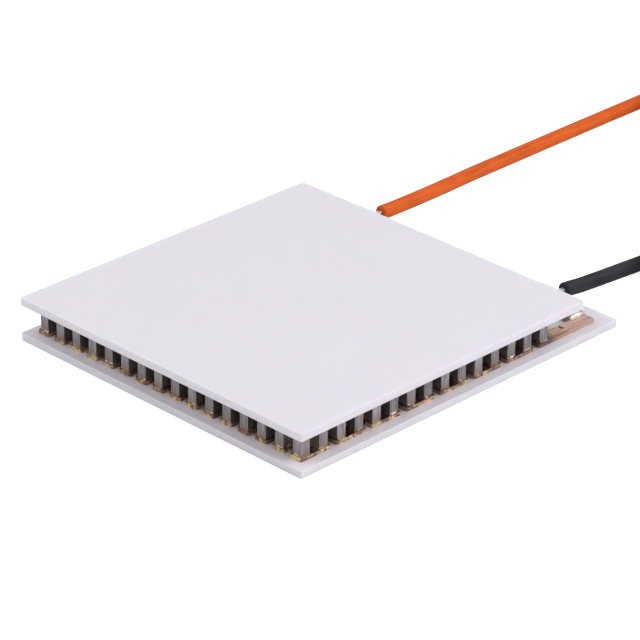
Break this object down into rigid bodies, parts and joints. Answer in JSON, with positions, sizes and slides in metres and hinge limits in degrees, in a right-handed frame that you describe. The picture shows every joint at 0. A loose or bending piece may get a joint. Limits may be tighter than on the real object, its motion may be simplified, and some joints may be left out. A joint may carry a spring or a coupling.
{
  "type": "thermoelectric cooling module",
  "caption": "Flat heat-pump module: two white ceramic plates with a grid of semiconductor pellets and copper tabs between them, and two insulated leads from a ledge on the longer plate.",
  "frame": {"origin": "middle of the hot face (the outer face of the longer plate), at its lowest point", "axes": "+Z from the hot face to the cold face, +X towards the ledge that the leads leave from, positive lead on the +Y side"},
  "size_m": [0.0798, 0.0376, 0.0044],
  "materials": {
    "alumina": "fired, unglazed, fine satin",
    "tab_copper": "plated copper, golden, lightly tarnished",
    "bare_copper": "bare copper with fine grooves, dull",
    "solder": "cast, uneven, dull grey",
    "p_type_pellet": "sawn, fine upright streaks",
    "n_type_pellet": "sawn, fine upright streaks",
    "tinned_wire": "stranded, tinned",
    "orange_insulation": "smooth, half gloss",
    "black_insulation": "smooth, half gloss",
    "tie": "plain"
  },
  "bodies": {
    "root": {"hot_ceramic": "alumina", "cold_ceramic": "alumina", "negative_terminal_pad": "bare_copper", "positive_terminal_pad": "bare_copper", "hot_solder": "solder", "cold_solder": "solder", "cold_return_tabs": "tab_copper", "hot_tabs_band_1": "tab_copper", "cold_tabs_band_1": "tab_copper", "p_pellets_band_1": "p_type_pellet", "n_pellets_band_1": "n_type_pellet", "hot_tabs_band_2": "tab_copper", "cold_tabs_band_2": "tab_copper", "p_pellets_band_2": "p_type_pellet", "n_pellets_band_2": "n_type_pellet", "hot_tabs_band_3": "tab_copper", "cold_tabs_band_3": "tab_copper", "p_pellets_band_3": "p_type_pellet", "n_pellets_band_3": "n_type_pellet", "hot_tabs_band_4": "tab_copper", "cold_tabs_band_4": "tab_copper", "p_pellets_band_4": "p_type_pellet", "n_pellets_band_4": "n_type_pellet", "hot_tabs_band_5": "tab_copper", "cold_tabs_band_5": "tab_copper", "p_pellets_band_5": "p_type_pellet", "n_pellets_band_5": "n_type_pellet", "hot_tabs_band_6": "tab_copper", "cold_tabs_band_6": "tab_copper", "p_pellets_band_6": "p_type_pellet", "n_pellets_band_6": "n_type_pellet", "hot_tabs_band_7": "tab_copper", "cold_tabs_band_7": "tab_copper", "p_pellets_band_7": "p_type_pellet", "n_pellets_band_7": "n_type_pellet", "hot_tabs_band_8": "tab_copper", "cold_tabs_band_8": "tab_copper", "p_pellets_band_8": "p_type_pellet", "n_pellets_band_8": "n_type_pellet", "negative_conductor": "tinned_wire", "negative_solder_bead": "solder", "negative_lead": "black_insulation", "negative_lead_coil": "black_insulation", "negative_lead_tip": "tinned_wire", "negative_lead_tie": "tie", "positive_conductor": "tinned_wire", "positive_solder_bead": "solder", "positive_lead": "orange_insulation", "positive_lead_coil": "orange_insulation", "positive_lead_tip": "tinned_wire", "positive_lead_tie": "tie"}
  },
  "joints": []
}
